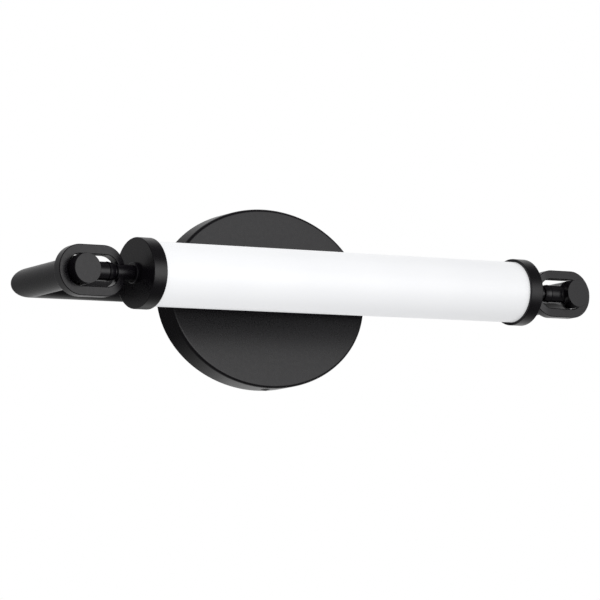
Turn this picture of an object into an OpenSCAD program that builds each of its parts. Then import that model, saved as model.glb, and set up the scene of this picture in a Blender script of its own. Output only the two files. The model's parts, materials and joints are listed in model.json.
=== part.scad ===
// Wall-mounted linear picture light: an oval backplate, a U-shaped tube arm, and an opal tube lamp
// that tilts between two oval links. Millimetres. The origin is the centre of the wall plane:
// +X runs along the lamp, +Y points into the wall and +Z points up.

/* [Backplate] */
// Width of the oval backplate
plate_w = 159; // [150:0.5:180]
// Height of the oval backplate
plate_h = 121.5; // [114:0.5:150]
// Depth of the backplate from the wall to its face
plate_depth = 17; // [16.5:0.1:22]
// Thickness of the backplate's sheet steel
plate_wall = 1.2; // [1:0.1:1.5]
// Width of the softened edge between the backplate's face and rim
plate_edge = 2; // [0.8:0.1:2.4]

/* [Arm] */
// Distance between the axes of the two arm legs
leg_spacing = 394.5; // [360:0.5:440]
// Outside diameter of the arm tube
tube_d = 19.05; // [18.5:0.05:20]
// Wall thickness of the arm tube
tube_wall = 1.5; // [1:0.1:1.8]
// How far a tube end stands in front of the lamp axis
tube_reach = 11; // [10.5:0.5:16]
// Clear gap between the arm tube and the backplate's face
arm_gap = 9; // [7:0.5:14]
// Diameter of the boss that joins the arm tube to the backplate
boss_d = 17; // [15:0.5:18]

/* [Links] */
// Outside height of an oval link
link_h = 32.3; // [31.4:0.1:36]
// Width of a link's band
link_band = 6.1; // [4.5:0.1:6.4]
// Depth of a link from front to back
link_depth = 7; // [5:0.1:9]
// Distance between the centres of a link's two round ends
link_pitch = 16.3; // [15:0.1:18]

/* [Lamp] */
// Distance from the wall to the lamp axis
projection = 94.5; // [90:0.5:120]
// Outside diameter of the opal tube
glass_d = 41; // [40:0.5:43]
// Wall thickness of the opal tube
glass_wall = 2; // [1.5:0.1:2.2]
// Outside diameter of an end cap
cap_d = 45.2; // [43:0.1:50]
// Length of an end cap along the lamp
cap_len = 10; // [9:0.5:14]
// Number of LEDs on the board
led_count = 24; // [12:2:24]

/* [Pivot] */
// Distance between a link's end and the end cap's face
neck_gap = 8.6; // [8:0.1:12]
// Outside diameter of the hollow pivot spindle
spindle_d = 8; // [7.6:0.1:8.2]
// Bore of the hollow pivot spindle
spindle_bore = 5; // [4.8:0.1:5.2]
// Outside diameter of the ferrule's neck, between a link and the lamp
ferrule_d = 10.8; // [10.4:0.1:11.4]
// Diameter of the ferrule's barrel, which fills the gap in a link's end
barrel_d = 12.4; // [11.8:0.1:12.8]
// Outside diameter of the pivot bush's collar
collar_d = 13.6; // [12.8:0.1:15]
// How far the lamp tilts each way
tilt_limit = 90; // [45:5:120]

/* [Hidden] */
$fn = 96;

gap = 0.05;             // clearance left between parts that touch
tiny = 0.01;
big = 600;

// Colours
black = "#242426";
opal = "#f4f4f5";
steel = "#b9bcc0";
zinc = "#c9cdd2";
alu = "#cfd2d6";
brass = "#b98f45";

// Backplate and hub, measured along Y from the wall
plate_face_y = -plate_depth;
plate_inner_y = plate_face_y + plate_wall;
hub_bore_d = 10;
nipple_d = 9.8;
nipple_bore = 7;
nipple_back_y = -9.5;
hub_washer_t = 1;
hub_nut_t = 3.5;

// Arm
tube_r = tube_d / 2;
leg_x = leg_spacing / 2;
run_y = plate_face_y - arm_gap - tube_r;
tube_end_y = -projection - tube_reach;
plug_t = 2;
plug_spigot = 4;

// Pivot stack, measured along X on the right-hand side
link_r = link_h / 2;
hole_r = link_r - link_band;
link_outer_x = leg_x;
link_inner_x = link_outer_x - link_pitch;
link_end_x = link_inner_x - link_r;
hole_inner_x = link_inner_x - 1.2;  // the opening reaches a little nearer the lamp
cap_face_x = link_end_x - neck_gap;
collar_t = 2.6;
ferrule_x0 = cap_face_x + collar_t + 2 * gap;
clamp_nut_d = 12.8;
clamp_nut_t = 4.4;
clamp_crown_r = 6.8;
barrel_proud = 1.4;
ferrule_x1 = hole_inner_x - sqrt(pow(hole_r, 2) - pow(barrel_d / 2, 2)) + barrel_proud;
clamp_nut_x = ferrule_x1 + gap;
stub_d = 12.2;
stub_x = clamp_nut_x + clamp_nut_t + gap;
spindle_x1 = leg_x - 4;

// End cap and what it holds, measured inwards from the cap's face
cap_disc = 2.5;
cap_inner_x = cap_face_x - cap_disc;
gasket_t = 1;
glass_end_x = cap_inner_x - gasket_t;
bracket_t = 2.5;
bracket_x = cap_inner_x - bracket_t;
bush_shank_d = 10.8;
bush_nut_t = 2.6;
bush_x = bracket_x - bush_nut_t - 0.5;
spring_washer_t = 0.9;
spring_washer_x = bush_x - gap - spring_washer_t;
spindle_nut_t = 3;
spindle_nut_x = spring_washer_x - spindle_nut_t;
spindle_x0 = spindle_nut_x - 1.5;

// Stop tab on a ferrule, which runs in an arc pocket in the bush's collar
stop_r = 5.1;
stop_depth = 1.4;
stop_half_angle = 10;

// Heat sink and LED board, measured from the lamp axis
sink_r = glass_d / 2 - glass_wall - 1.2;
sink_base_z = 9;
sink_base_t = 3;
board_t = 1.2;
board_w = 12;
board_z = sink_base_z - gap - board_t;
board_half = spindle_x0 - 1.5;
port_y = 7;
port_z = sink_base_z + 3.4;
led_pitch = 2 * board_half / led_count;

// Crossbar, on the wall inside the backplate
bar_w = 22;
bar_t = 1.6;
tab_w = 14;
tab_depth = 12;
bar_half = plate_h / 2 - plate_wall - 1;
box_slot_pitch = 79.4;  // suits box screws from 69.85 to 88.9 apart
box_slot_w = 4.8;
box_slot_len = 14.5;
ground_z = 18;
ground_screw_d = 3.9;
ground_wire_d = 1;
ground_head_t = 2.6;
ground_head_y = -bar_t - ground_wire_d - 2 * gap;
rim_screw_y = -8;
rim_screw_d = 3.9;

// Driver, beside the hub
driver_w = 46;
driver_h = 26;
driver_t = 11;
driver_x0 = 21;
driver_pad_t = 1;
driver_y = plate_inner_y + gap + driver_pad_t;
lead_d = 2;
cable_d = 4.2;
cable_bend_r = 4.5;
head_wire_d = 2;
head_bend_r = 2.2;
outlet_y = nipple_back_y + 3;

// ---- Helpers -------------------------------------------------------------------------------

module rod_x(x0, x1, d) translate([x0, 0, 0]) rotate([0, 90, 0]) cylinder(h = x1 - x0, d = d);
module rod_y(y0, y1, d) translate([0, y0, 0]) rotate([-90, 0, 0]) cylinder(h = y1 - y0, d = d);
module rod_z(z0, z1, d) translate([0, 0, z0]) cylinder(h = z1 - z0, d = d);

module ring_x(x0, x1, d, bore) difference() {
    rod_x(x0, x1, d);
    rod_x(x0 - 1, x1 + 1, bore);
}

// A part turned about the X axis; each point is [radius, x]
module turned_x(points) rotate([0, 90, 0]) rotate_extrude() polygon(points);

// Parts are drawn for the right-hand side and mirrored for the left
module on_side(side) mirror([side < 0 ? 1 : 0, 0, 0]) children();

module on_lamp_axis() translate([0, -projection, 0]) children();

// A quarter bend about +Z, from +X round to +Y, in the XY plane
module bend_xy(r, d) rotate_extrude(angle = 90) translate([r, 0]) circle(d = d);

// ---- Backplate and wall fixing -------------------------------------------------------------

function oval_points(w, h, steps = 144) =
    [for (i = [0 : steps - 1]) [w / 2 * cos(360 * i / steps), h / 2 * sin(360 * i / steps)]];

// An oval prism that runs along Y from y0 to y1, inset all round
module oval_y(y0, y1, inset) translate([0, y1, 0]) rotate([90, 0, 0])
    linear_extrude(height = y1 - y0) polygon(oval_points(plate_w - 2 * inset, plate_h - 2 * inset));

module softened_face() {
    mid = plate_edge * (1 - sqrt(0.5));
    hull() {
        oval_y(plate_face_y, plate_face_y + tiny, plate_edge);
        oval_y(plate_face_y + mid, plate_face_y + mid + tiny, mid);
    }
    hull() {
        oval_y(plate_face_y + mid, plate_face_y + mid + tiny, mid);
        oval_y(plate_face_y + plate_edge, plate_face_y + plate_edge + tiny, 0);
    }
}

module backplate() color(black) difference() {
    union() {
        softened_face();
        oval_y(plate_face_y + plate_edge, 0, 0);
    }
    oval_y(plate_inner_y, 1, plate_wall);
    rod_y(plate_face_y - 1, plate_inner_y + 1, hub_bore_d);
    translate([0, rim_screw_y, 0]) rod_z(-plate_h, plate_h, rim_screw_d + 0.3);
}

module box_slot() {
    run = box_slot_len - box_slot_w;
    for (z = [-run / 2, run / 2]) translate([0, 0, z]) rod_y(-bar_t - 1, 1, box_slot_w);
    translate([-box_slot_w / 2, -bar_t - 1, -run / 2]) cube([box_slot_w, bar_t + 2, run]);
}

module crossbar() color(zinc) difference() {
    union() {
        translate([-bar_w / 2, -bar_t, -bar_half]) cube([bar_w, bar_t, 2 * bar_half]);
        for (side = [0, 1]) mirror([0, 0, side])
            translate([-tab_w / 2, -tab_depth, bar_half - bar_t]) cube([tab_w, tab_depth, bar_t]);
    }
    for (z = [-box_slot_pitch / 2, box_slot_pitch / 2]) translate([0, 0, z]) box_slot();
    rod_y(-bar_t - 1, 1, 11);
    translate([0, 0, ground_z]) rod_y(-bar_t - 1, 1, ground_screw_d + 2 * gap);
    translate([0, rim_screw_y, 0]) rod_z(-plate_h, plate_h, rim_screw_d + 2 * gap);
}

// Low dome-headed screws at the top and bottom of the rim
module canopy_screws() color(black) for (side = [0, 1]) mirror([0, 0, side])
    translate([0, rim_screw_y, plate_h / 2 + gap]) {
        rod_z(-6.5, 0, rim_screw_d);
        intersection() {
            rod_z(0, 0.8, 6.4);
            translate([0, 0, -6]) sphere(r = 6.8);
        }
    }

module ground_screw() color("#3f8f4f") translate([0, 0, ground_z]) {
    rod_y(ground_head_y, -gap, ground_screw_d);
    translate([0, ground_head_y - ground_head_t, 0]) rotate([-90, 0, 0])
        cylinder(h = ground_head_t, d = 8, $fn = 6);
}

// ---- Hub between the arm and the backplate ---------------------------------------------------

module arm_boss() color(black) difference() {
    rod_y(run_y + 1, plate_face_y - gap, boss_d);
    rod_y(run_y, 0, hub_bore_d);
    translate([0, run_y, 0]) rod_x(-boss_d, boss_d, tube_d + 2 * gap);
}

module hub_nipple() color(brass) difference() {
    rod_y(run_y + 3.5, nipple_back_y, nipple_d);
    rod_y(run_y, 0, nipple_bore);
}

module hub_washer() color(zinc) difference() {
    rod_y(plate_inner_y + gap, plate_inner_y + gap + hub_washer_t, 18);
    rod_y(plate_inner_y, 0, nipple_d + 0.4);
}

module hub_nut() color(brass) difference() {
    translate([0, plate_inner_y + 2 * gap + hub_washer_t, 0]) rotate([-90, 0, 0])
        cylinder(h = hub_nut_t, d = 16.2, $fn = 6);
    rod_y(plate_inner_y, 0, nipple_d + 2 * gap);
}

// ---- Arm -------------------------------------------------------------------------------------

// Everything on one side of a plane through the right-hand corner's axis
module corner_half(angle) translate([leg_x, run_y, 0]) rotate([0, 0, angle])
    translate([0, -big / 2, -big / 2]) cube(big);

// The U shape with mitred corners, at one diameter
module arm_path(d, end_y) {
    for (side = [-1, 1]) on_side(side) intersection() {
        translate([leg_x, 0, 0]) rod_y(end_y, run_y + d, d);
        corner_half(-45);
    }
    intersection() {
        translate([0, run_y, 0]) rod_x(-leg_x - d, leg_x + d, d);
        corner_half(135);
        on_side(-1) corner_half(135);
    }
}

module arm_frame() color(black) difference() {
    arm_path(tube_d, tube_end_y + plug_t);
    arm_path(tube_d - 2 * tube_wall, tube_end_y - 1);
    for (side = [-1, 1]) on_side(side) on_lamp_axis() rod_x(leg_x - tube_r - 1, leg_x, spindle_d + 0.2);
    rod_y(run_y, plate_face_y, hub_bore_d);
}

module end_plug(side) color(black) on_side(side) translate([leg_x, tube_end_y, 0]) rotate([-90, 0, 0])
    rotate_extrude() polygon([
        [0, 0], [tube_r - 0.3, 0], [tube_r, 0.3], [tube_r, plug_t - gap],
        [tube_r - tube_wall - gap, plug_t - gap], [tube_r - tube_wall - gap, plug_t + plug_spigot],
        [0, plug_t + plug_spigot]
    ]);

// ---- Links and pivots ------------------------------------------------------------------------

// Two equal round ends joined by straight sides
module stadium(inner_x, r) {
    for (x = [inner_x, link_outer_x]) translate([x, 0]) circle(r = r);
    translate([inner_x, -r]) square([link_outer_x - inner_x, 2 * r]);
}

module link(side) color(black) on_side(side) on_lamp_axis() difference() {
    translate([0, link_depth / 2, 0]) rotate([90, 0, 0]) linear_extrude(height = link_depth) difference() {
        stadium(link_inner_x, link_r);
        stadium(hole_inner_x, hole_r);
    }
    rod_x(link_end_x - 1, link_inner_x, barrel_d + 2 * gap);
}

// A hollow ferrule: a barrel brazed into the link's end, a neck, and a stop tab on the neck's end
module ferrule(side) color(black) on_side(side) on_lamp_axis() difference() {
    union() {
        rod_x(ferrule_x0, link_end_x + 1, ferrule_d);
        rod_x(link_end_x, ferrule_x1, barrel_d);
        arc_block(ferrule_x0 - stop_depth, ferrule_x0 + 1, stop_r, stop_half_angle);
    }
    rod_x(ferrule_x0 - stop_depth - 1, ferrule_x1 + 1, spindle_d + 2 * gap);
}

// A sector about the X axis, centred on +Z
module arc_block(x0, x1, r, half_angle) rotate([90 - half_angle, 0, 0]) translate([x0, 0, 0])
    rotate([90, 0, 90]) rotate_extrude(angle = 2 * half_angle) square([r, x1 - x0]);

module pivot_bush(side) color(black) on_side(side) on_lamp_axis() difference() {
    turned_x([
        [0, bush_x], [bush_shank_d / 2, bush_x], [bush_shank_d / 2, cap_face_x + gap],
        [collar_d / 2, cap_face_x + gap], [collar_d / 2, cap_face_x + collar_t - 0.6],
        [collar_d / 2 - 0.6, cap_face_x + collar_t], [0, cap_face_x + collar_t]
    ]);
    rod_x(bush_x - 1, cap_face_x + collar_t + 1, spindle_d + 2 * gap);
    arc_block(cap_face_x + collar_t - stop_depth, cap_face_x + collar_t + 1, stop_r + gap,
              tilt_limit + stop_half_angle + 1);
}

module bush_nut(side) color(zinc) on_side(side) on_lamp_axis() difference() {
    translate([bracket_x - gap - bush_nut_t, 0, 0]) rotate([0, 90, 0])
        cylinder(h = bush_nut_t, d = 16, $fn = 6);
    rod_x(bush_x - 1, bracket_x + 1, bush_shank_d + 2 * gap);
}

// Points round the rim of a crowned nut, from one face to the other, each [radius, x]
function crown_points(steps = 12) = [
    for (i = [0 : steps]) let (x = clamp_nut_t * (i / steps - 0.5))
        [min(clamp_nut_d / 2, sqrt(pow(clamp_crown_r, 2) - x * x)), clamp_nut_x + clamp_nut_t / 2 + x]
];

// A crowned round nut that bears on the ferrule's barrel, inside the link's opening
module clamp_nut(side) color(black) on_side(side) on_lamp_axis() difference() {
    turned_x(concat([[0, clamp_nut_x]], crown_points(), [[0, clamp_nut_x + clamp_nut_t]]));
    rod_x(clamp_nut_x - 1, clamp_nut_x + clamp_nut_t + 1, spindle_d + 2 * gap);
}

module tube_stub(side) color(black) on_side(side) on_lamp_axis() difference() {
    rod_x(stub_x, leg_x - tube_r + 2, stub_d);
    rod_x(stub_x - 1, leg_x, spindle_d + 2 * gap);
    translate([leg_x, 0, 0]) rod_y(-tube_d, tube_d, tube_d + 2 * gap);
}

module spindle(side) color(steel) on_side(side) on_lamp_axis()
    ring_x(spindle_x0, spindle_x1, spindle_d, spindle_bore);

module spring_washer(side) color(steel) on_side(side) on_lamp_axis()
    ring_x(spring_washer_x, spring_washer_x + spring_washer_t, 12.5, spindle_d + 0.3);

module spindle_nut(side) color(brass) on_side(side) on_lamp_axis() difference() {
    translate([spindle_nut_x, 0, 0]) rotate([0, 90, 0]) cylinder(h = spindle_nut_t - gap, d = 15, $fn = 6);
    rod_x(spindle_nut_x - 1, spindle_nut_x + spindle_nut_t, spindle_d + 2 * gap);
}

// ---- Lamp head -------------------------------------------------------------------------------

module end_cap(side) color(black) on_side(side) on_lamp_axis() difference() {
    edge = 0.5;
    turned_x([
        [0, cap_inner_x], [glass_d / 2 + 0.15, cap_inner_x], [glass_d / 2 + 0.15, cap_face_x - cap_len],
        [cap_d / 2 - edge / 2, cap_face_x - cap_len], [cap_d / 2, cap_face_x - cap_len + edge / 2],
        [cap_d / 2, cap_face_x - edge], [cap_d / 2 - edge, cap_face_x], [0, cap_face_x]
    ]);
    rod_x(cap_inner_x - 1, cap_face_x + 1, bush_shank_d + 0.2);
}

module gasket(side) color("#d8d8d8") on_side(side) on_lamp_axis()
    ring_x(glass_end_x + gap, cap_inner_x - gap, glass_d - 0.4, glass_d - 2 * glass_wall + 0.4);

module shade_tube() color(opal) on_lamp_axis()
    ring_x(-glass_end_x, glass_end_x, glass_d, glass_d - 2 * glass_wall);

// Places its children at the two screw ports of one end of the heat sink
module at_ports() for (y = [-port_y, port_y]) translate([0, y, port_z]) children();

module end_bracket(side) color(zinc) on_side(side) on_lamp_axis() difference() {
    rod_x(bracket_x, cap_inner_x - gap, 2 * sink_r);
    rod_x(bracket_x - 1, cap_inner_x + 1, bush_shank_d + 2 * gap);
    at_ports() rod_x(bracket_x - 1, cap_inner_x, 2.6);
    at_ports() rod_x(cap_inner_x - 1.5, cap_inner_x, 5);
}

module bracket_screws() color(zinc) for (side = [-1, 1]) on_side(side) on_lamp_axis() at_ports() {
    rod_x(cap_inner_x - 1.4, cap_inner_x - 0.1, 4.8);
    rod_x(bracket_x - 6, cap_inner_x - 1.4, 2.4);
}

module sink_profile() difference() {
    intersection() {
        circle(r = sink_r);
        union() {
            translate([-14, sink_base_z]) square([28, sink_base_t]);
            for (i = [-3 : 3]) translate([i * 4 - 0.6, sink_base_z]) square([1.2, sink_r]);
            for (y = [-port_y, port_y]) translate([y, port_z]) circle(r = 2.3);
        }
    }
    for (y = [-port_y, port_y]) translate([y, port_z]) circle(d = 2.5);
}

// Places its children along the LED board at the screws
module at_board_screws() for (i = [-1, 0, 1])
    translate([i * led_pitch * (led_count / 2 - 2), 0, 0]) children();

module heat_sink() color(alu) on_lamp_axis() difference() {
    half = bracket_x - gap;
    translate([-half, 0, 0]) rotate([90, 0, 90]) linear_extrude(height = 2 * half) sink_profile();
    at_board_screws() rod_z(sink_base_z - 1, sink_base_z + sink_base_t - 0.4, 2.5);
}

module led_board() color("#eef0ea") on_lamp_axis() difference() {
    translate([-board_half, -board_w / 2, board_z]) cube([2 * board_half, board_w, board_t]);
    at_board_screws() rod_z(board_z - 1, board_z + board_t + 1, 2.7);
}

module led_chips() color("#f3d96a") on_lamp_axis() for (i = [0 : led_count - 1])
    translate([(i + 0.5) * led_pitch - board_half - 1.75, -1.4, board_z - 0.7 - gap]) cube([3.5, 2.8, 0.7]);

module board_screws() color(steel) on_lamp_axis() at_board_screws() {
    rod_z(board_z - 1.2 - gap, board_z - gap, 4.4);
    rod_z(board_z - gap, board_z + board_t + 2, 2.4);
}

// The lamp's own leads, from the right-hand spindle up to the end of the board
module head_cable() color("#d9d9d9") on_lamp_axis() {
    rod_x(board_half, spindle_x0 - 1, head_wire_d);
    translate([board_half, 0, head_bend_r]) rotate([90, 0, 180]) rotate([0, 0, 270])
        bend_xy(head_bend_r, head_wire_d);
    translate([board_half - head_bend_r, 0, 0]) rod_z(head_bend_r, board_z - gap, head_wire_d);
}

// ---- Electrics in the backplate and the arm --------------------------------------------------

module led_driver() color("#e9e9e6") difference() {
    translate([driver_x0, driver_y + gap, -driver_h / 2]) cube([driver_w, driver_t, driver_h]);
    translate([0, outlet_y, 0]) rod_x(driver_x0 - 1, driver_x0 + 5, cable_d + 2 * gap);
    for (z = [-9, 9]) translate([0, outlet_y, z]) rod_x(driver_x0 - 1, driver_x0 + 5, lead_d + 2 * gap);
}

module driver_pad() color("#6f6f6f")
    translate([driver_x0 + 1, plate_inner_y + gap, -driver_h / 2 + 1])
        cube([driver_w - 2, driver_pad_t, driver_h - 2]);

// A supply lead that leaves the driver, crosses the hub and ends above or below the bar
module supply_lead(z, x_end) translate([0, outlet_y, z]) {
    rod_x(x_end, driver_x0 + 4, lead_d);
    rod_x(x_end - 8, x_end, lead_d * 0.55);
}

module live_lead() color("#202020") supply_lead(9, -30);
module neutral_lead() color("#f2f2f2") supply_lead(-9, -30);

// Bare earth wire, looped under the ground screw's head and led away past the bar
module ground_lead() color("#c17a43") translate([0, ground_head_y + gap, ground_z]) {
    difference() {
        rod_y(0, ground_wire_d, 7.4);
        rod_y(-1, ground_wire_d + 1, 4.6);
    }
    translate([0, ground_wire_d / 2, 3]) rod_x(0, 34, ground_wire_d * 0.9);
}

// Flexible two-core cable from the driver, through the hub and the arm, to the right-hand spindle
module arm_cable() color("#d9d9d9") {
    r = cable_bend_r;
    translate([0, outlet_y, 0]) rod_x(r, driver_x0 + 4, cable_d);
    translate([r, outlet_y - r, 0]) rotate([0, 0, 90]) bend_xy(r, cable_d);
    rod_y(run_y + r, outlet_y - r, cable_d);
    translate([r, run_y + r, 0]) rotate([0, 0, 180]) bend_xy(r, cable_d);
    translate([0, run_y, 0]) rod_x(r, leg_x - r, cable_d);
    translate([leg_x - r, run_y - r, 0]) bend_xy(r, cable_d);
    translate([leg_x, 0, 0]) rod_y(-projection + r, run_y - r, cable_d);
    translate([leg_x - r, -projection + r, 0]) rotate([0, 0, 270]) bend_xy(r, cable_d);
    on_lamp_axis() rod_x(spindle_x0, leg_x - r, cable_d);
}

// ---- Nodes -----------------------------------------------------------------------------------

backplate();
crossbar();
canopy_screws();
ground_screw();
arm_boss();
hub_nipple();
hub_washer();
hub_nut();
arm_frame();
end_plug(-1);  // end_plug_left
end_plug(1);  // end_plug_right
link(-1);  // link_left
link(1);  // link_right
tube_stub(-1);  // tube_stub_left
tube_stub(1);  // tube_stub_right
clamp_nut(-1);  // clamp_nut_left
clamp_nut(1);  // clamp_nut_right
spindle(-1);  // spindle_left
spindle(1);  // spindle_right
ferrule(-1);  // ferrule_left
ferrule(1);  // ferrule_right
spring_washer(-1);  // spring_washer_left
spring_washer(1);  // spring_washer_right
spindle_nut(-1);  // spindle_nut_left
spindle_nut(1);  // spindle_nut_right
led_driver();
driver_pad();
live_lead();
neutral_lead();
ground_lead();
arm_cable();
pivot_bush(-1);  // pivot_bush_left
pivot_bush(1);  // pivot_bush_right
bush_nut(-1);  // bush_nut_left
bush_nut(1);  // bush_nut_right
end_cap(-1);  // end_cap_left
end_cap(1);  // end_cap_right
end_bracket(-1);  // end_bracket_left
end_bracket(1);  // end_bracket_right
bracket_screws();
shade_tube();
gasket(-1);  // gasket_left
gasket(1);  // gasket_right
heat_sink();
led_board();
led_chips();
board_screws();
head_cable();
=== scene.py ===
"""A satin black picture light: an opal tube lamp that tilts between two oval links on a tube arm."""
import json
import math

import bmesh
import bpy
from mathutils import Matrix, Vector


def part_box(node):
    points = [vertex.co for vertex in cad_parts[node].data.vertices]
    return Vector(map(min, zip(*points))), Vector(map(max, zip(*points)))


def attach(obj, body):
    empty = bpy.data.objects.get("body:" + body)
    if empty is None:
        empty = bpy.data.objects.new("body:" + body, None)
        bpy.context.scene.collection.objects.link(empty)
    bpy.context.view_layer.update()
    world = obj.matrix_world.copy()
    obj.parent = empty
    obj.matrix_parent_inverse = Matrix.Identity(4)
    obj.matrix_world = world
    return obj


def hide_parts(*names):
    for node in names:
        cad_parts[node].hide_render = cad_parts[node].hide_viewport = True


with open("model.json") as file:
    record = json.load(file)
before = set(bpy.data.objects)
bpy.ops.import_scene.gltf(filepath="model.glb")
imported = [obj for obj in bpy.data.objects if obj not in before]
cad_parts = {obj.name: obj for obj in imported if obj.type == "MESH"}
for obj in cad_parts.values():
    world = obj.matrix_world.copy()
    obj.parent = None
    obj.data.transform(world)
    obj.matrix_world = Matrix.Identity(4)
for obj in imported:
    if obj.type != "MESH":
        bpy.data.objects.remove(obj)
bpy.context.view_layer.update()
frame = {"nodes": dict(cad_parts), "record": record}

MM = 0.001
WALL = "wall_frame"
HEAD = "lamp_head"
SIDES = {"left": -1, "right": 1}
X = Vector((1, 0, 0))
Y = Vector((0, 1, 0))
Z = Vector((0, 0, 1))


# ---- Measures -------------------------------------------------------------------------------

class Box:
    """A node's box at rest, in metres."""

    def __init__(self, node):
        self.low, self.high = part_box(node)
        self.size = self.high - self.low
        self.mid = (self.high + self.low) / 2


GLASS = Box("shade_tube")
CAP = Box("end_cap_right")
PLUG = Box("end_plug_right")
LINK = Box("link_right")
FERRULE = Box("ferrule_right")
NUT = Box("clamp_nut_right")
PLATE = Box("backplate")
DRIVER = Box("led_driver")

AXIS = Vector((0, GLASS.mid.y, 0))
GLASS_R = GLASS.size.z / 2
CAP_R = CAP.size.z / 2
TUBE_R = PLUG.size.x / 2
LEG_X = PLUG.mid.x
RUN_Y = Box("arm_frame").high.y - TUBE_R
SPINDLE_R = Box("spindle_right").size.z / 2

# Wall thicknesses and inner sizes, which no node's box shows
FIT = 0.05 * MM
GLASS_WALL = 2 * MM
CAP_FLOOR = 2.5 * MM
TUBE_WALL = 1.5 * MM
PLATE_WALL = 1.2 * MM
PLUG_FLANGE = 2 * MM
LINK_BAND = 6.1 * MM
LINK_HOLE_SHIFT = 1.2 * MM
NECK_R = 5.4 * MM
STOP_DEPTH = 1.4 * MM
HUB_R = 5 * MM
LEAD_R = 1 * MM
SAME_POINT = 0.0001 * MM

LINK_R = LINK.size.z / 2
LINK_BORE_R = FERRULE.size.z / 2 + FIT
LINK_INNER_X = LINK.low.x + math.sqrt(LINK_R ** 2 - LINK_BORE_R ** 2)


# ---- Mesh helpers ---------------------------------------------------------------------------

def unit(angle):
    return math.cos(angle), math.sin(angle)


def rounded(corners, steps=6):
    """A closed outline from corners (x, y, fillet radius), with each fillet as an arc."""
    outline = []
    count = len(corners)
    for i, (x, y, radius) in enumerate(corners):
        here = Vector((x, y))
        if radius <= 0:
            outline.append(here)
            continue
        before = (Vector(corners[i - 1][:2]) - here).normalized()
        after = (Vector(corners[(i + 1) % count][:2]) - here).normalized()
        half = before.angle(after) / 2
        reach = radius / math.tan(half)
        centre = here + (before + after).normalized() * radius / math.sin(half)
        start = here + before * reach - centre
        end = here + after * reach - centre
        sweep = start.angle_signed(end)
        for k in range(steps + 1):
            turn = Matrix.Rotation(-sweep * k / steps, 2)
            outline.append(centre + turn @ start)
    return outline


def skin_rings(bm, rings, wrap=False):
    """Joins a row of closed point rings with quads. A ring of one point is a pole."""
    made = [[bm.verts.new(p) for p in ring] for ring in rings]
    pairs = list(zip(made, made[1:]))
    if wrap:
        pairs.append((made[-1], made[0]))
    for a, b in pairs:
        count = max(len(a), len(b))
        for i in range(count):
            j = (i + 1) % count
            quad = [a[i % len(a)], a[j % len(a)], b[j % len(b)], b[i % len(b)]]
            bm.faces.new(dict.fromkeys(quad))
    return made


def turned(outline, origin, along, segments=128, flats=None):
    """A closed bmesh turned about a line. outline holds (distance along it, radius) points.
    With flats, the radius is cut back to a hexagon of that half width."""
    along = Vector(along).normalized()
    side = (X if abs(along.x) < 0.5 else Y).cross(along)
    other = along.cross(side)
    rings = []
    for distance, radius in outline:
        centre = Vector(origin) + along * distance
        if radius < 1e-6:
            rings.append([centre])
            continue
        ring = []
        for i in range(segments):
            angle = 2 * math.pi * i / segments
            reach = radius
            if flats:
                off = (angle + math.pi / 6) % (math.pi / 3) - math.pi / 6
                reach = min(radius, flats / math.cos(off))
            c, s = unit(angle)
            ring.append(centre + (side * c + other * s) * reach)
        rings.append(ring)
    bm = bmesh.new()
    skin_rings(bm, rings, wrap=len(rings[0]) > 1)
    return bm


def curve_through(points, steps=10):
    """A smooth path through points (a Catmull-Rom curve)."""
    knots = [points[0]] + [Vector(p) for p in points] + [points[-1]]
    path = []
    for a, b, c, d in zip(knots, knots[1:], knots[2:], knots[3:]):
        a, b, c, d = (Vector(p) for p in (a, b, c, d))
        for k in range(steps):
            t = k / steps
            path.append(0.5 * (2 * b + (c - a) * t + (2 * a - 5 * b + 4 * c - d) * t * t
                               + (3 * b - a - 3 * c + d) * t ** 3))
    path.append(Vector(points[-1]))
    return path


def piped(path, radius, segments=24):
    """A closed bmesh: a round rod that follows a path, with softened ends."""
    rings = []
    side = (path[1] - path[0]).orthogonal().normalized()
    end_scale = 0.8
    end_reach = 0.25 * radius
    for i, here in enumerate(path):
        to_next = path[min(i + 1, len(path) - 1)] - path[max(i - 1, 0)]
        ahead = to_next.normalized()
        side = (side - ahead * side.dot(ahead)).normalized()
        other = ahead.cross(side)
        spokes = [unit(2 * math.pi * k / segments) for k in range(segments)]
        rings.append([here + (side * c + other * s) * radius for c, s in spokes])
    for index, out in ((0, path[0] - path[1]), (-1, path[-1] - path[-2])):
        middle = path[index]
        tip = middle + out.normalized() * end_reach
        end = [tip + (p - middle) * end_scale for p in rings[index]]
        if index == 0:
            rings = [[tip], end] + rings
        else:
            rings = rings + [end, [tip]]
    bm = bmesh.new()
    skin_rings(bm, rings)
    return bm


def slab(outline, low, high, place, soft=0.0):
    """A closed bmesh: an outline with thickness from low to high; place(u, v, w) puts a point.
    soft takes a small chamfer off both rims."""
    middle = sum((Vector(p) for p in outline), Vector((0, 0))) / len(outline)
    rings = []
    for w, inset in ((low, soft), (low + soft, 0), (high - soft, 0), (high, soft)):
        ring = []
        for point in outline:
            inward = (middle - Vector(point)).normalized() * inset
            ring.append(place(*(Vector(point) + inward), w))
        rings.append(ring)
    bm = bmesh.new()
    made = skin_rings(bm, rings)
    bm.faces.new(made[0])
    bm.faces.new(made[-1])
    return bm


def joined(*parts):
    """One bmesh that holds several closed ones."""
    whole = bmesh.new()
    for part in parts:
        mesh = bpy.data.meshes.new("part")
        part.to_mesh(mesh)
        part.free()
        whole.from_mesh(mesh)
        bpy.data.meshes.remove(mesh)
    return whole


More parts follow.
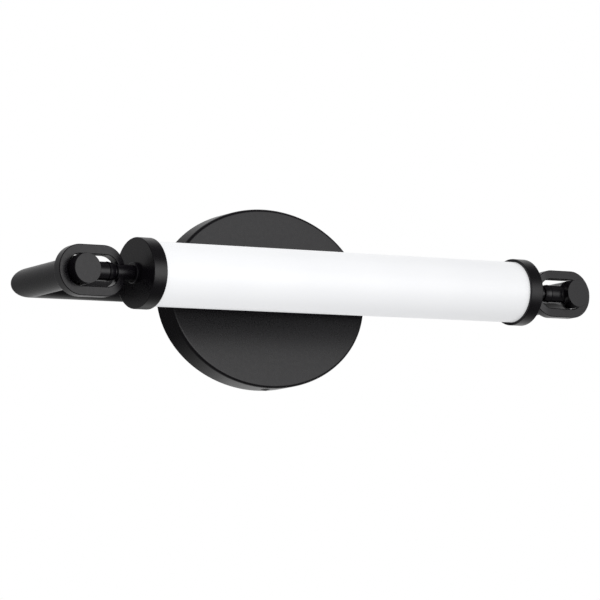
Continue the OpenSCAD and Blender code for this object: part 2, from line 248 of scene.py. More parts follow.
def carved(body, *cutters):
    """body with each cutter's solid taken away."""
    objects = []
    for bm in (body, *cutters):
        bmesh.ops.recalc_face_normals(bm, faces=bm.faces)
        mesh = bpy.data.meshes.new("solid")
        bm.to_mesh(mesh)
        bm.free()
        obj = bpy.data.objects.new("solid", mesh)
        bpy.context.scene.collection.objects.link(obj)
        objects.append(obj)
    for cutter in objects[1:]:
        cut = objects[0].modifiers.new("cut", "BOOLEAN")
        cut.operation = "DIFFERENCE"
        cut.solver = "EXACT"
        cut.object = cutter
    bpy.context.view_layer.update()
    shape = objects[0].evaluated_get(bpy.context.evaluated_depsgraph_get()).to_mesh()
    result = bmesh.new()
    result.from_mesh(shape)
    for obj in objects:
        bpy.data.meshes.remove(obj.data)
    return result


def finish_mesh(name, bm, body, replaced, slot, sharp=40):
    """Turns a bmesh into a piece that rides on a body and stands for CAD nodes. Edges that turn
    by more than sharp degrees stay crisp."""
    bmesh.ops.remove_doubles(bm, verts=bm.verts, dist=SAME_POINT)
    bmesh.ops.recalc_face_normals(bm, faces=bm.faces)
    mesh = bpy.data.meshes.new(name)
    bm.to_mesh(mesh)
    bm.free()
    mesh.shade_smooth()
    mesh.set_sharp_from_angle(angle=math.radians(sharp))
    piece = bpy.data.objects.new(name, mesh)
    bpy.context.scene.collection.objects.link(piece)
    weighted = piece.modifiers.new("weighted", "WEIGHTED_NORMAL")
    weighted.keep_sharp = True
    mesh.materials.append(MATERIALS[slot])
    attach(piece, body)
    if replaced:
        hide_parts(*replaced)
    return piece


# ---- Materials ------------------------------------------------------------------------------

class Shader:
    """A material's node tree, with short calls for the nodes that the finishes share."""

    def __init__(self, name):
        self.material = bpy.data.materials.new(name)
        self.material.use_nodes = True
        self.tree = self.material.node_tree
        self.surface = self.tree.nodes["Principled BSDF"]
        self.coords = self.tree.nodes.new("ShaderNodeTexCoord")

    def link(self, source, target):
        self.tree.links.new(source, target)

    def node(self, kind, **inputs):
        made = self.tree.nodes.new(kind)
        for key, value in inputs.items():
            made.inputs[key.replace("_", " ")].default_value = value
        return made

    def noise(self, scale, detail=3.0, roughness=0.5, stretch=(1, 1, 1)):
        mapping = self.node("ShaderNodeMapping")
        mapping.inputs["Scale"].default_value = stretch
        self.link(self.coords.outputs["Object"], mapping.inputs["Vector"])
        made = self.node("ShaderNodeTexNoise", Scale=scale, Detail=detail, Roughness=roughness)
        self.link(mapping.outputs["Vector"], made.inputs["Vector"])
        return made.outputs["Fac"]

    def spread(self, value, low, high, source=(0.3, 0.7)):
        """The value, moved from the source range to low..high."""
        made = self.node("ShaderNodeMapRange")
        made.inputs["From Min"].default_value, made.inputs["From Max"].default_value = source
        made.inputs["To Min"].default_value, made.inputs["To Max"].default_value = low, high
        self.link(value, made.inputs["Value"])
        return made.outputs["Result"]

    def tint(self, value, dark, light):
        ramp = self.tree.nodes.new("ShaderNodeValToRGB")
        ramp.color_ramp.elements[0].position = 0.3
        ramp.color_ramp.elements[1].position = 0.7
        ramp.color_ramp.elements[0].color = (*dark, 1)
        ramp.color_ramp.elements[1].color = (*light, 1)
        self.link(value, ramp.inputs["Fac"])
        self.link(ramp.outputs["Color"], self.surface.inputs["Base Color"])

    def rough(self, value, low, high):
        self.link(self.spread(value, low, high), self.surface.inputs["Roughness"])

    def bump(self, height, depth, strength=1.0):
        """Raises the surface by up to depth metres where height is 1."""
        made = self.node("ShaderNodeBump", Strength=strength, Distance=depth)
        self.link(height, made.inputs["Height"])
        self.link(made.outputs["Normal"], self.surface.inputs["Normal"])

    def set(self, **inputs):
        for key, value in inputs.items():
            self.surface.inputs[key.replace("_", " ")].default_value = value


def powder_coat(name, dark, light, low, high):
    """Satin paint: cloudy colour and sheen over a fine orange peel."""
    clouds, patches, peel = 140, 420, 1900
    depth = 0.003 * MM
    shader = Shader(name)
    shader.tint(shader.noise(clouds, 4), dark, light)
    shader.rough(shader.noise(patches, 3), low, high)
    shader.bump(shader.noise(peel, 2), depth)
    shader.set(Specular_IOR_Level=0.5)
    return shader.material


def opal_glass(name):
    """Cased white glass with painted light: an emission that stands in for the studio light on it,
    brighter at its left end. Most of it is seen only by the eye, so black paint mirrors it dimly.
    """
    clouds, patches, draw_lines = 18, 60, 35
    depth = 0.02 * MM
    shader = Shader(name)
    shader.tint(shader.noise(clouds, 2), (0.90, 0.905, 0.925), (0.93, 0.935, 0.95))
    shader.rough(shader.noise(patches, 2), 0.30, 0.38)
    shader.bump(shader.noise(draw_lines, 1, stretch=(0.3, 1, 1)), depth, 0.5)
    shader.set(Emission_Color=(0.975, 0.985, 1, 1))
    along = shader.node("ShaderNodeSeparateXYZ")
    shader.link(shader.coords.outputs["Object"], along.inputs[0])
    # painted light: emission standing in for the light on the glass, fading from the left end to the
    # right
    glow = shader.spread(along.outputs["X"], *GLASS_PAINTED_LIGHT, (GLASS.low.x, GLASS.high.x))
    path = shader.node("ShaderNodeLightPath")
    share = shader.spread(path.outputs["Is Camera Ray"], PAINTED_LIGHT_IN_PAINT, 1)
    seen = shader.node("ShaderNodeMath")
    seen.operation = "MULTIPLY"
    shader.link(glow, seen.inputs[0])
    shader.link(share, seen.inputs[1])
    shader.link(seen.outputs[0], shader.surface.inputs["Emission Strength"])
    return shader.material


def metal(name, dark, light, low, high, stretch=(1, 1, 1)):
    """Bare or plated metal with a fine grain, which stretch draws out into tool marks."""
    fineness = 700
    depth = 0.006 * MM
    shader = Shader(name)
    grain = shader.noise(fineness, 4, stretch=stretch)
    shader.tint(grain, dark, light)
    shader.rough(grain, low, high)
    shader.bump(grain, depth)
    shader.set(Metallic=1.0)
    return shader.material


def moulded(name, dark, light, low, high, scale=900, depth=0.01 * MM):
    """Plastic, rubber, foam or enamel, with a pebbled surface of this scale and depth."""
    shader = Shader(name)
    shader.tint(shader.noise(scale / 8, 3), dark, light)
    shader.rough(shader.noise(scale / 3, 3), low, high)
    shader.bump(shader.noise(scale, 2), depth)
    return shader.material


# The glass's painted light (an emission standing in for the light on it) at its left and right ends,
# and the share of it that other surfaces receive
GLASS_PAINTED_LIGHT = (0.43, 0.34)
PAINTED_LIGHT_IN_PAINT = 0.25

ROUND_GRAIN = (12, 1, 1)
DRAWN_GRAIN = (0.05, 1, 1)

# Each finish: its maker, its dark and light colours, its least and most roughness, then extras
FINISHES = {
    "black_paint": (powder_coat, (0.0060, 0.0047, 0.0075), (0.0078, 0.0064, 0.0095), 0.26, 0.31),
    "zinc_steel": (metal, (0.50, 0.51, 0.53), (0.66, 0.67, 0.69), 0.30, 0.45),
    "bright_steel": (metal, (0.46, 0.46, 0.47), (0.60, 0.60, 0.61), 0.20, 0.32, ROUND_GRAIN),
    "brass": (metal, (0.50, 0.34, 0.12), (0.66, 0.47, 0.18), 0.22, 0.36, ROUND_GRAIN),
    "aluminium": (metal, (0.66, 0.67, 0.68), (0.80, 0.81, 0.82), 0.32, 0.46, DRAWN_GRAIN),
    "green_screw": (metal, (0.04, 0.20, 0.07), (0.08, 0.30, 0.12), 0.30, 0.42),
    "copper": (metal, (0.62, 0.28, 0.14), (0.78, 0.40, 0.22), 0.24, 0.38),
    "driver_case": (moulded, (0.76, 0.76, 0.73), (0.83, 0.83, 0.80), 0.45, 0.58),
    "foam_pad": (moulded, (0.10, 0.10, 0.10), (0.19, 0.19, 0.19), 0.85, 0.95, 1600, 0.06 * MM),
    "gasket_rubber": (moulded, (0.52, 0.52, 0.52), (0.63, 0.63, 0.63), 0.60, 0.72),
    "black_wire": (moulded, (0.015, 0.015, 0.015), (0.024, 0.024, 0.024), 0.38, 0.48),
    "white_wire": (moulded, (0.72, 0.72, 0.70), (0.80, 0.80, 0.78), 0.38, 0.48),
    "white_board": (moulded, (0.78, 0.79, 0.75), (0.86, 0.87, 0.83), 0.35, 0.45),
    "led_phosphor": (moulded, (0.78, 0.58, 0.08), (0.88, 0.70, 0.14), 0.18, 0.26),
}

MATERIALS = {name: maker(name, *values) for name, (maker, *values) in FINISHES.items()}
MATERIALS["opal_glass"] = opal_glass("opal_glass")


# ---- Lamp head ------------------------------------------------------------------------------

def end_caps():
    """Spun cups with a floor, a lip over the glass and softened rims."""
    seat = GLASS_R + 0.15 * MM
    bore = 5.5 * MM
    floor = CAP.high.x - CAP_FLOOR
    lip_inside, lip_outside, face_edge = 0.25 * MM, 0.45 * MM, 0.6 * MM
    corners = [
        (floor, bore, 0), (floor, seat, 0), (CAP.low.x, seat, lip_inside),
        (CAP.low.x, CAP_R, lip_outside), (CAP.high.x, CAP_R, face_edge), (CAP.high.x, bore, 0),
    ]
    for side, sign in SIDES.items():
        bm = turned(rounded(corners), AXIS, X * sign, 160)
        finish_mesh(f"cap_{side}", bm, HEAD, [f"end_cap_{side}"], "black_paint")


def collars():
    """The pivot bushes: a collar on the cap's face and a shank through it."""
    box = Box("pivot_bush_right")
    collar, shank = box.size.z / 2, 5.4 * MM
    bore = SPINDLE_R + FIT
    face = CAP.high.x + FIT
    shank_end, inner_edge, outer_edge = 0.4 * MM, 0.2 * MM, 0.7 * MM
    corners = [
        (box.low.x, bore, 0), (box.low.x, shank, shank_end), (face, shank, 0),
        (face, collar, inner_edge), (box.high.x, collar, outer_edge), (box.high.x, bore, 0),
    ]
    for side, sign in SIDES.items():
        bm = turned(rounded(corners), AXIS, X * sign, 96)
        finish_mesh(f"collar_{side}", bm, HEAD, [f"pivot_bush_{side}"], "black_paint")


def glass_tube():
    """The opal tube, with fire-polished ends."""
    fire = 0.9 * MM
    corners = [
        (GLASS.low.x, GLASS_R - GLASS_WALL, fire), (GLASS.low.x, GLASS_R, fire),
        (GLASS.high.x, GLASS_R, fire), (GLASS.high.x, GLASS_R - GLASS_WALL, fire),
    ]
    bm = turned(rounded(corners), AXIS, X, 192)
    finish_mesh("opal_tube", bm, HEAD, ["shade_tube"], "opal_glass")


# ---- Links and pivots -----------------------------------------------------------------------

def links():
    """A rounded bar swept round the link's oval, open where the neck passes through it. The
    opening reaches nearer the lamp than the outline does, so the bar is thinner at that end, and
    the front face eases back there."""
    edge = 0.6 * MM
    half = LINK_BAND / 2
    deep = LINK.size.y / 2
    section = rounded([
        (-half, -deep, edge), (half, -deep, edge), (half, deep, edge), (-half, deep, edge),
    ])
    hole_r = LINK_R - LINK_BAND
    into_neck = 0.4 * MM
    open_angle = math.asin((NECK_R - into_neck) / LINK_R)
    ease, ease_r = 10 * MM, 47 * MM
    outer_end = [(LEG_X, -math.pi / 2, math.pi / 2)]
    lower_end = [(LINK_INNER_X, math.pi + open_angle, 3 * math.pi / 2)]
    upper_end = [(LINK_INNER_X, math.pi / 2, math.pi - open_angle)]
    steps = 48
    for side, sign in SIDES.items():
        rings = []
        for centre_x, first, last in lower_end + outer_end + upper_end:
            for k in range(steps + 1):
                c, s = unit(first + (last - first) * k / steps)
                shift = LINK_HOLE_SHIFT if centre_x == LINK_INNER_X else 0
                outer = Vector((sign * (centre_x + LINK_R * c), AXIS.y, LINK_R * s))
                inner = Vector((sign * (centre_x - shift + hole_r * c), AXIS.y, hole_r * s))
                ring = []
                for out, back in section:
                    point = inner.lerp(outer, (out + half) / LINK_BAND) + Y * back
                    near = LINK.low.x + ease - abs(point.x)
                    if back < 0 and near > 0:
                        point.y += near ** 2 / (2 * ease_r)
                    ring.append(point)
                rings.append(ring)
        bm = bmesh.new()
        made = skin_rings(bm, rings)
        bm.faces.new(made[0])
        bm.faces.new(made[-1])
        finish_mesh(f"oval_link_{side}", bm, WALL, [f"link_{side}"], "black_paint")


def ferrules():
    """A neck that widens from the collar through the link's end, with a relief next to the nut."""
    bore = SPINDLE_R + FIT
    start, end = FERRULE.low.x + STOP_DEPTH, FERRULE.high.x
    neck_end = end - 1.6 * MM
    taper = 0.5 * MM
    relief_r = NECK_R - 1.1 * MM
    start_edge, end_edge = 0.3 * MM, 0.2 * MM
    corners = [
        (start, bore, 0), (start, NECK_R - taper, start_edge), (neck_end, NECK_R, end_edge),
        (neck_end, relief_r, 0), (end, relief_r, 0), (end, bore, 0),
    ]
    for side, sign in SIDES.items():
        bm = turned(rounded(corners), AXIS, X * sign, 96)
        finish_mesh(f"barrel_{side}", bm, WALL, [f"ferrule_{side}"], "black_paint")


def clamp_nuts():
    """Crowned round nuts, fattest at the face that is turned away from the lamp."""
    radius = NUT.size.z / 2
    crown = 16 * MM
    fattest = NUT.high.x + 1.2 * MM
    bore = SPINDLE_R + FIT
    steps = 16
    soft = 0.3 * MM
    outline = [Vector((NUT.low.x, bore))]
    for k in range(steps + 1):
        x = NUT.low.x + (NUT.size.x - soft) * k / steps
        outline.append(Vector((x, radius - crown + math.sqrt(crown ** 2 - (x - fattest) ** 2))))
    outline += [Vector((NUT.high.x, radius - soft)), Vector((NUT.high.x, bore))]
    for side, sign in SIDES.items():
        bm = turned(outline, AXIS, X * sign, 96)
        finish_mesh(f"crown_nut_{side}", bm, WALL, [f"clamp_nut_{side}"], "black_paint")


def saddle(origin, along, start, reach, radius, bore, weld, segments=96):
    """A round stub that runs along a line from start and meets the arm tube, whose axis crosses
    the line at reach. Its end flares into a weld and follows the tube's surface. The tube runs
    square to the line and to Z."""
    across = along.cross(Z)
    spokes = [unit(2 * math.pi * i / segments) for i in range(segments)]
    soft = 0.5 * MM
    into_tube = 0.8 * MM
    steps = 8

    def ring(distance, r, on_tube=False):
        points = []
        for c, s in spokes:
            d = distance
            if on_tube:
                d += reach - math.sqrt(max(0.0, TUBE_R ** 2 - (r * s) ** 2))
            points.append(origin + along * d + (across * c + Z * s) * r)
        return points

    rings = [ring(start, bore), ring(start, radius - soft), ring(start + soft, radius)]
    for k in range(steps + 1):
        back, out = unit(math.pi / 2 * k / steps)
        rings.append(ring(-weld * (1 - out), radius + weld * (1 - back), True))
    rings.append(ring(into_tube, radius, True))
    rings.append(ring(into_tube, bore, True))
    bm = bmesh.new()
    skin_rings(bm, rings, wrap=True)
    return bm


def tube_stubs():
    """The stubs that stand out from the arm's legs towards the lamp."""
    box = Box("tube_stub_right")
    radius, bore = box.size.z / 2, SPINDLE_R + FIT
    weld = 1.3 * MM
    for side, sign in SIDES.items():
        bm = saddle(AXIS, X * sign, box.low.x, LEG_X, radius, bore, weld)
        finish_mesh(f"stub_{side}", bm, WALL, [f"tube_stub_{side}"], "black_paint")


# ---- Arm ------------------------------------------------------------------------------------

def end_plugs():
    """Flat plugs that close the tube's ends, each with a spigot inside the tube."""
    spigot = TUBE_R - TUBE_WALL - FIT
    front, back = PLUG.low.y, PLUG.high.y
    lip = front + PLUG_FLANGE - FIT
    front_edge, joint_edge, spigot_edge = 0.25 * MM, 0.1 * MM, 0.4 * MM
    corners = [
        (front, 0, 0), (front, TUBE_R, front_edge), (lip, TUBE_R, joint_edge),
        (lip, spigot, 0), (back, spigot, spigot_edge), (back, 0, 0),
    ]
    for side, sign in SIDES.items():
        bm = turned(rounded(corners), X * sign * LEG_X, Y, 128)
        finish_mesh(f"tube_end_{side}", bm, WALL, [f"end_plug_{side}"], "black_paint")


def arm_tube():
    """A tube mitred to a U, with each mitre dressed to a small round, as an outer and inner skin."""
    front = Box("arm_frame").low.y
    segments = 96
    bend = 10

    def skin(radius, outside_turn, inside_turn):
        ends = []
        for sign in (-1, 1):
            stations = [[] for _ in range(bend + 2)]
            for i in range(segments):
                c, s = unit(2 * math.pi * i / segments)
                turn = inside_turn + (outside_turn - inside_turn) * (1 + c) / 2
                corner = Vector((sign * (LEG_X + radius * c), RUN_Y + radius * c, radius * s))
                stations[0].append(Vector((corner.x, front, corner.z)))
                for k in range(bend + 1):
                    back, along = unit(math.pi / 2 * k / bend)
                    shift = Vector((-sign * turn * (1 - back), -turn * (1 - along), 0))
                    stations[k + 1].append(corner + shift)
            ends.append(stations)
        return ends[0] + ends[1][::-1]

    bm = bmesh.new()
    outside = skin(TUBE_R, 1.8 * MM, 1.0 * MM)
    inside = skin(TUBE_R - TUBE_WALL, 1.0 * MM, 0.5 * MM)
    skin_rings(bm, outside + inside[::-1], wrap=True)
    finish_mesh("arm_tube", bm, WALL, ["arm_frame"], "black_paint", 50)


def boss():
    """The short boss between the arm tube and the backplate, welded to the tube."""
    radius = Box("arm_boss").size.x / 2
    start = PLATE.low.y - FIT
    weld = 0.9 * MM
    bm = saddle(Vector((0, 0, 0)), -Y, -start, -RUN_Y, radius, HUB_R, weld)
    finish_mesh("boss", bm, WALL, ["arm_boss"], "black_paint")


# ---- Backplate ------------------------------------------------------------------------------

def backplate_pan():
    """An oval pan: rings run from the back of the rim, over the face and back down inside."""
    half_w, half_h = PLATE.size.x / 2, PLATE.size.z / 2
    face = PLATE.low.y
    edge = 2.1 * MM
    inner_edge = 1.2 * MM
    rim_edge = 0.25 * MM
    segments = 192
    spokes = [unit(2 * math.pi * i / segments) for i in range(segments)]

    def oval(inset, y):
        return [Vector(((half_w - inset) * c, y, (half_h - inset) * s)) for c, s in spokes]

    def hole(y):
        return [Vector((HUB_R * c, y, HUB_R * s)) for c, s in spokes]

    def web(start, end, steps=12):
        return [[a.lerp(b, k / steps) for a, b in zip(start, end)] for k in range(1, steps + 1)]

    def fillet(inset, y, radius, steps=8):
        """Rings round the turn from the rim's side, at this inset, to the face at y."""
        rings = []
        for k in range(steps + 1):
            c, s = unit(math.pi / 2 * k / steps)
            rings.append(oval(inset + radius * (1 - c), y + radius * (1 - s)))
        return rings

    rings = [oval(rim_edge, 0), oval(0, -rim_edge)]
    rings += fillet(0, face, edge)
    rings += web(rings[-1], hole(face))
    inside = fillet(PLATE_WALL, face + PLATE_WALL, inner_edge)[::-1]
    rings += [hole(face + PLATE_WALL)] + web(hole(face + PLATE_WALL), inside[0])[:-1] + inside
    rings += [oval(PLATE_WALL, -rim_edge), oval(PLATE_WALL - rim_edge, 0)]
    bm = bmesh.new()
    skin_rings(bm, rings, wrap=True)
    finish_mesh("backplate_pan", bm, WALL, ["backplate"], "black_paint")


def drive_cross(centre, along, side, reach, width, depth):
    """Two crossed bars that cut a screw's drive recess, of half length reach and half width width."""
    other = along.cross(side)
    above = 1 * MM
    corners = [(-reach, -width), (reach, -width), (reach, width), (-reach, width)]

    def bar(u, v):
        return slab(corners, -depth, above, lambda a, b, w: centre + u * a + v * b + along * w)

    return [bar(side, other), bar(other, side)]


def rim_screws():
    """Low domed screws with a cross recess, at the top and bottom of the pan's rim."""
    box = Box("canopy_screws")
    head_r = 3.2 * MM
    shank_r = 1.95 * MM
    point = 0.4 * MM
    seat = PLATE.high.z + FIT
    tall = box.high.z - seat
    length = 6.5 * MM
    cross_reach, cross_width, cross_depth = 1.7 * MM, 0.36 * MM, 0.8 * MM
    dome = (head_r ** 2 + tall ** 2) / (2 * tall)
    outline = [(-length, 0), (-length, shank_r - point), (point - length, shank_r), (0, shank_r)]
    steps = 10
    for k in range(steps + 1):
        r = head_r * (1 - k / steps)
        outline.append((tall - dome + math.sqrt(dome ** 2 - r ** 2), r))
    screws = []
    for sign in (-1, 1):
        centre = Vector((0, box.mid.y, sign * seat))
        screw = turned(outline, centre, Z * sign, 64)
        top = centre + Z * sign * tall
        cross = drive_cross(top, Z * sign, X, cross_reach, cross_width, cross_depth)
        screws.append(carved(screw, *cross))
    finish_mesh("rim_screws", joined(*screws), WALL, ["canopy_screws"], "black_paint")


# ---- Wall fixing and electrics, inside the pan -----------------------------------------------

def earth_screw():
    """A green hexagon-headed screw with a flange and a driver slot."""
    box = Box("ground_screw")
    head = box.low.y
    flats, corners = 3.46 * MM, 5 * MM
    chamfer, chamfer_share = 0.45 * MM, 0.93
    hexagon_end = head + 2.0 * MM
    flange, flange_end, flange_edge = 3.9 * MM, head + 2.6 * MM, 0.2 * MM
    shank, point = 1.95 * MM, 0.3 * MM
    slot_reach, slot_width, slot_depth = 4.5 * MM, 0.45 * MM, 0.9 * MM
    centre = Vector((box.mid.x, 0, box.mid.z))
    hexagon = turned(rounded([
        (head, 0, 0), (head, flats * chamfer_share, 0), (head + chamfer, corners, 0),
        (hexagon_end, corners, 0), (hexagon_end, 0, 0),
    ]), centre, Y, 96, flats)
    slot = drive_cross(centre + Y * head, -Y, X, slot_reach, slot_width, slot_depth)[0]
    stem = turned(rounded([
        (hexagon_end, 0, 0), (hexagon_end, flange, flange_edge), (flange_end, flange, flange_edge),
        (flange_end, shank, 0), (-FIT, shank, point), (-FIT, 0, 0),
    ]), centre, Y, 64)
    screw = joined(carved(hexagon, slot), stem)
    finish_mesh("earth_screw", screw, WALL, ["ground_screw"], "green_screw", 30)


def hub_nuts():
    """The hexagon nut on the nipple, with both its faces chamfered."""
    box = Box("hub_nut")
    flats, corners = 7.0 * MM, 9 * MM
    chamfer, chamfer_share = 0.6 * MM, 0.96
    bore = 4.95 * MM
    outline = [
        (box.low.y, bore), (box.low.y, flats * chamfer_share), (box.low.y + chamfer, corners),
        (box.high.y - chamfer, corners), (box.high.y, flats * chamfer_share), (box.high.y, bore),
    ]
    nut = turned(outline, (0, 0, 0), Y, 96, flats)
    finish_mesh("hub_locknut", nut, WALL, ["hub_nut"], "brass", 25)


def nipple():
    """The hollow nipple, with a rolled thread along its outside."""
    box = Box("hub_nipple")
    radius, bore = box.size.x / 2, 3.5 * MM
    pitch = 1.0 * MM
    root = radius - 0.35 * MM
    outline = [(box.low.y, bore), (box.low.y, root)]
    for k in range(int(box.size.y / pitch)):
        crest = box.low.y + (k + 0.5) * pitch
        outline += [(crest, radius), (min(crest + pitch / 2, box.high.y), root)]
    outline += [(box.high.y, root), (box.high.y, bore)]
    thread = turned(outline, (0, 0, 0), Y, 64)
    finish_mesh("threaded_nipple", thread, WALL, ["hub_nipple"], "brass", 25)


def round_rectangle(box, inset, corner, steps=6):
    """The outline (x, z) of a node's box, drawn in by inset and with rounded corners."""
    low_x, high_x = box.low.x + inset, box.high.x - inset
    low_z, high_z = box.low.z + inset, box.high.z - inset
    return rounded([
        (low_x, low_z, corner), (high_x, low_z, corner),
        (high_x, high_z, corner), (low_x, high_z, corner),
    ], steps)


def driver_case():
    """A moulded case in two halves, with a parting groove between them."""
    corner = 2.5 * MM
    edge = 0.6 * MM
    groove, groove_depth = 0.5 * MM, 0.6 * MM
    overlap = 1 * MM
    part = DRIVER.mid.y + 1 * MM
    outline = round_rectangle(DRIVER, 0, corner, 8)
    core = round_rectangle(DRIVER, groove_depth, corner, 8)

    def flat(x, z, y):
        return Vector((x, y, z))

    shell = [
        slab(outline, DRIVER.low.y, part, flat, edge),
        slab(outline, part + groove, DRIVER.high.y, flat, edge),
        slab(core, part - overlap, part + groove + overlap, flat),
    ]
    finish_mesh("driver_shell", joined(*shell), WALL, ["led_driver"], "driver_case", 25)


def foam_pad():
    """A die-cut foam pad, squeezed between the driver and the pan so that its sides bulge."""
    box = Box("driver_pad")
    corner = 1.5 * MM
    bulge = 0.4 * MM
    steps = 8
    rings = []
    for k in range(steps + 1):
        inset = bulge * (1 - unit(math.pi * k / steps)[1])
        y = box.low.y + box.size.y * k / steps
        rings.append([Vector((x, y, z)) for x, z in round_rectangle(box, inset, corner)])
    bm = bmesh.new()
    made = skin_rings(bm, rings)
    bm.faces.new(made[0])
    bm.faces.new(made[-1])
    finish_mesh("foam_cushion", bm, WALL, ["driver_pad"], "foam_pad")


def supply_leads():
    """Insulated leads from the driver, gently bowed, each with a stripped end of twisted strands."""
    strip, hidden = 8 * MM, 1 * MM
    strand_r, strand_spread = 0.26 * MM, 0.32 * MM
    strand_count, stations, twist = 5, 24, 1.5
    straight = 6 * MM
    # Where a lead bends: its x, and how far it leaves its line in y and z
    bends = ((6 * MM, 0.8 * MM, 1.2 * MM), (-12 * MM, -0.6 * MM, 2.2 * MM))
    for node, name, slot, bow in (
        ("live_lead", "live_wire", "black_wire", 1), ("neutral_lead", "neutral_wire", "white_wire", -1),
    ):
        box = Box(node)
        z, y = box.mid.z, box.mid.y
        left, right = box.low.x + strip, box.high.x
        route = [Vector((right, y, z)), Vector((right - straight, y, z))]
        route += [Vector((x, y + off_y, z + bow * off_z)) for x, off_y, off_z in bends]
        route.append(Vector((left, y, z)))
        finish_mesh(name, piped(curve_through(route), LEAD_R), WALL, [node], slot)
        strands = []
        for k in range(strand_count):
            strand = []
            for i in range(stations + 1):
                along = i / stations
                c, s = unit(2 * math.pi * (k / strand_count + along * twist))
                x = left + hidden - (strip + hidden) * along
                strand.append(Vector((x, y + strand_spread * c, z + strand_spread * s)))
            strands.append(piped(strand, strand_r, 12))
        finish_mesh(f"{name}_strands", joined(*strands), WALL, [], "copper")


def earth_wire():
    """A bare wire, hooked under the green screw's head and led away to the side."""
    box = Box("ground_lead")
    screw = Box("ground_screw")
    radius = 0.48 * MM
    hook = 3 * MM
    first, sweep, steps = 350, 260, 24
    straight, crest, rise, sink = 8 * MM, 18 * MM, 1.2 * MM, 0.5 * MM
    centre = Vector((screw.mid.x, box.mid.y, screw.mid.z))
    path = []
    for k in range(steps + 1):
        c, s = unit(math.radians(first - sweep * k / steps))
        path.append(centre + (X * c + Z * s) * hook)
    tail = curve_through([
        path[-1],
        centre + X * straight + Z * hook,
        centre + X * crest + Z * (hook + rise),
        Vector((box.high.x, box.mid.y - sink, centre.z + hook)),
    ])
    wire = piped(path + tail[1:], radius, 16)
    finish_mesh("earth_wire", wire, WALL, ["ground_lead"], "copper")


def dress_cad_nodes():
    """Gives every CAD node its finish, by the record's slot for it."""
    slots = {part["node"]: part["material_slot"] for part in frame["record"]["subparts"]}
    for node, obj in frame["nodes"].items():
        obj.data.materials.clear()
        obj.data.materials.append(MATERIALS[slots[node]])


# ---- Stage ----------------------------------------------------------------------------------

def pale_floor():
    """A wide floor, pale from above and clear from below, kept out of the paint's reflections."""
    radius, height = 4.0, -0.42
    glow = 0.42
    bm = bmesh.new()
    bmesh.ops.create_circle(bm, cap_ends=True, segments=96, radius=radius)
    mesh = bpy.data.meshes.new("floor")
    bm.to_mesh(mesh)
    bm.free()
    floor = bpy.data.objects.new("floor", mesh)
    floor.location.z = height
    floor.visible_glossy = False
    floor.visible_diffuse = False
    shader = Shader("floor")
    shader.tint(shader.noise(3, 2), (0.80, 0.80, 0.80), (0.83, 0.83, 0.83))
    shader.set(Roughness=0.9, Specular_IOR_Level=0.2)
    shader.set(Emission_Color=(1, 1, 1, 1), Emission_Strength=glow)
    below = shader.node("ShaderNodeNewGeometry")
    clear = shader.node("ShaderNodeBsdfTransparent")
    mix = shader.node("ShaderNodeMixShader")
    out = shader.tree.nodes["Material Output"]
    shader.link(below.outputs["Backfacing"], mix.inputs[0])
    shader.link(shader.surface.outputs[0], mix.inputs[1])
    shader.link(clear.outputs[0], mix.inputs[2])
    shader.link(mix.outputs[0], out.inputs["Surface"])
    mesh.materials.append(shader.material)
    bpy.context.scene.collection.objects.link(floor)


def shade_card():
    """A dark soft-edged card behind the backplate's left rim, seen only in the paint: painted shade
    that darkens the rim's reflection there.
    """
    half_x, half_z = 62 * MM, 122 * MM
    behind, below = 1 * MM, 8 * MM
    darkest = 0.85
    bm = bmesh.new()
    bmesh.ops.create_circle(bm, cap_ends=True, segments=48, radius=1)
    bmesh.ops.transform(bm, matrix=Matrix.Rotation(math.pi / 2, 4, "X"), verts=bm.verts)
    mesh = bpy.data.meshes.new("shade_card")
    bm.to_mesh(mesh)
    bm.free()
    card = bpy.data.objects.new("shade_card", mesh)
    card.location = (PLATE.low.x, behind, -below)
    card.scale = (half_x, 1, half_z)
    for ray in ("camera", "diffuse", "transmission", "volume_scatter", "shadow"):
        setattr(card, f"visible_{ray}", False)
    shader = Shader("shade_card")
    shader.set(Base_Color=(0.002, 0.002, 0.002, 1), Roughness=1.0, Specular_IOR_Level=0.0)
    distance = shader.node("ShaderNodeVectorMath")
    distance.operation = "LENGTH"
    shader.link(shader.coords.outputs["Object"], distance.inputs[0])
    fade = shader.spread(distance.outputs["Value"], darkest, 0, (0.2, 1.0))
    shader.link(fade, shader.surface.inputs["Alpha"])
    mesh.materials.append(shader.material)
    bpy.context.scene.collection.objects.link(card)


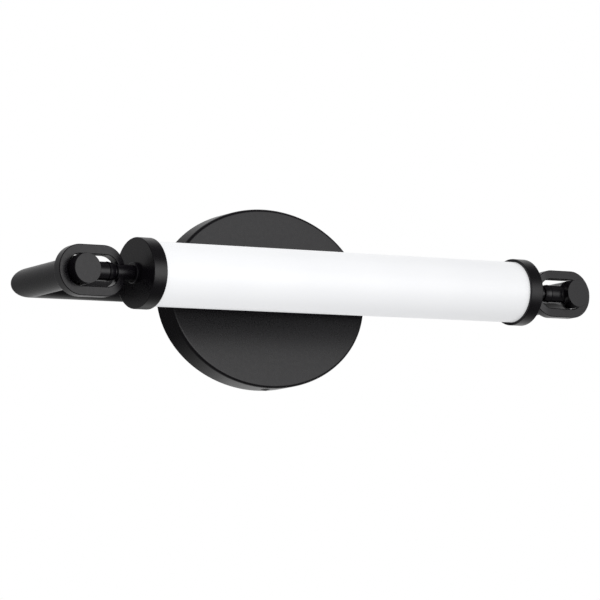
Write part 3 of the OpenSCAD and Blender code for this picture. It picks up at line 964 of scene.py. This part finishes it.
class Sky:
    """The studio as a world shader: radiance as a function of direction."""

    def __init__(self):
        world = bpy.data.worlds.new("studio")
        bpy.context.scene.world = world
        world.use_nodes = True
        self.tree = world.node_tree
        coords = self.tree.nodes.new("ShaderNodeTexCoord")
        split = self.tree.nodes.new("ShaderNodeSeparateXYZ")
        self.tree.links.new(coords.outputs["Generated"], split.inputs[0])
        self.x, self.y, self.z = split.outputs

    def math(self, operation, *values):
        made = self.tree.nodes.new("ShaderNodeMath")
        made.operation = operation
        for socket, value in zip(made.inputs, values):
            if isinstance(value, (int, float)):
                socket.default_value = value
            else:
                self.tree.links.new(value, socket)
        return made.outputs[0]

    def step(self, value, start, end):
        """0 up to start, 1 from end on, and smooth between; start may be above end."""
        made = self.tree.nodes.new("ShaderNodeMapRange")
        made.interpolation_type = "SMOOTHSTEP"
        made.inputs["From Min"].default_value = start
        made.inputs["From Max"].default_value = end
        self.tree.links.new(value, made.inputs["Value"])
        return made.outputs["Result"]

    def total(self, *values):
        result = values[0]
        for value in values[1:]:
            result = self.math("ADD", result, value)
        return result

    def window(self, azimuth, elevation, half_width, half_height, feather):
        """1 inside a soft-edged rectangle of directions, in degrees; azimuth 0 is -Y."""
        turn = self.math("ARCTAN2", self.x, self.math("MULTIPLY", self.y, -1))
        rise = self.math("ARCSINE", self.z)
        mask = None
        for angle, middle, half in ((turn, azimuth, half_width), (rise, elevation, half_height)):
            off = self.math("ABSOLUTE", self.math("SUBTRACT", angle, math.radians(middle)))
            edge = self.step(off, math.radians(half + feather), math.radians(half - feather))
            mask = edge if mask is None else self.math("MULTIPLY", mask, edge)
        return mask

    def background(self, strength):
        made = self.tree.nodes.new("ShaderNodeBackground")
        made.inputs["Color"].default_value = (1, 1, 1, 1)
        if isinstance(strength, (int, float)):
            made.inputs["Strength"].default_value = strength
        else:
            self.tree.links.new(strength, made.inputs["Strength"])
        return made.outputs[0]

    def choose(self, switch, off, on):
        made = self.tree.nodes.new("ShaderNodeMixShader")
        self.tree.links.new(switch, made.inputs[0])
        self.tree.links.new(off, made.inputs[1])
        self.tree.links.new(on, made.inputs[2])
        return made.outputs[0]


def studio():
    """White to the eye. Paint and metal mirror a front softbox and a pale backdrop with dark
    between them. Matt surfaces take a soft light that is strongest from the front and the back."""
    sky = Sky()
    # Mirrored: a backdrop that is paler to the right, a softbox to the right of the front, and haze
    paler = sky.total(0.43, sky.math("MULTIPLY", sky.x, 0.32))
    backdrop = sky.math("MULTIPLY", sky.step(sky.y, -0.15, 0.75), paler)
    window = sky.window(azimuth=22, elevation=-1, half_width=18, half_height=20, feather=16)
    softbox = sky.math("MULTIPLY", window, 2.2)
    haze = 0.09
    mirrored = sky.background(sky.total(backdrop, softbox, haze))
    # Soft: a slope from front to back and a little from below to above, and a lamp behind
    frontal = sky.math("MULTIPLY", sky.y, -0.42)
    overhead = sky.math("MULTIPLY", sky.z, 0.12)
    slope = sky.total(0.38, frontal, overhead)
    behind = sky.math("MULTIPLY", sky.step(sky.y, 0.45, 0.85), 0.6)
    soft = sky.background(sky.math("MAXIMUM", slope, behind))
    path = sky.tree.nodes.new("ShaderNodeLightPath")
    lit = sky.choose(path.outputs["Is Glossy Ray"], soft, mirrored)
    seen = sky.choose(path.outputs["Is Camera Ray"], lit, sky.background(1.0))
    sky.tree.links.new(seen, sky.tree.nodes["World Output"].inputs["Surface"])
    bpy.context.scene.view_settings.view_transform = "Standard"


def camera():
    """Left of the lamp and a little below it, looking up, with a long lens."""
    yaw, pitch, roll = (math.radians(a) for a in (35.62, 7.23, -2.46))
    from_axis = Vector((-1.2478, -1.6995, -0.2774))
    ahead = Vector((math.sin(yaw) * math.cos(pitch), math.cos(yaw) * math.cos(pitch), math.sin(pitch)))
    right = Vector((math.cos(yaw), -math.sin(yaw), 0))
    up = right.cross(ahead)
    tilt_right = right * math.cos(roll) + up * math.sin(roll)
    tilt_up = up * math.cos(roll) - right * math.sin(roll)
    data = bpy.data.cameras.new("camera")
    data.sensor_width = 36
    data.lens = 195.2
    data.clip_start, data.clip_end = 0.05, 50
    made = bpy.data.objects.new("camera", data)
    turn = Matrix((tilt_right, tilt_up, -ahead)).transposed().to_4x4()
    made.matrix_world = Matrix.Translation(AXIS + from_axis) @ turn
    bpy.context.scene.collection.objects.link(made)
    bpy.context.scene.camera = made


dress_cad_nodes()
for build in (
    end_caps, collars, glass_tube, links, ferrules, clamp_nuts, tube_stubs, end_plugs, arm_tube,
    boss, backplate_pan, rim_screws, earth_screw, hub_nuts, nipple, driver_case, foam_pad,
    supply_leads, earth_wire, pale_floor, shade_card, studio, camera,
):
    build()
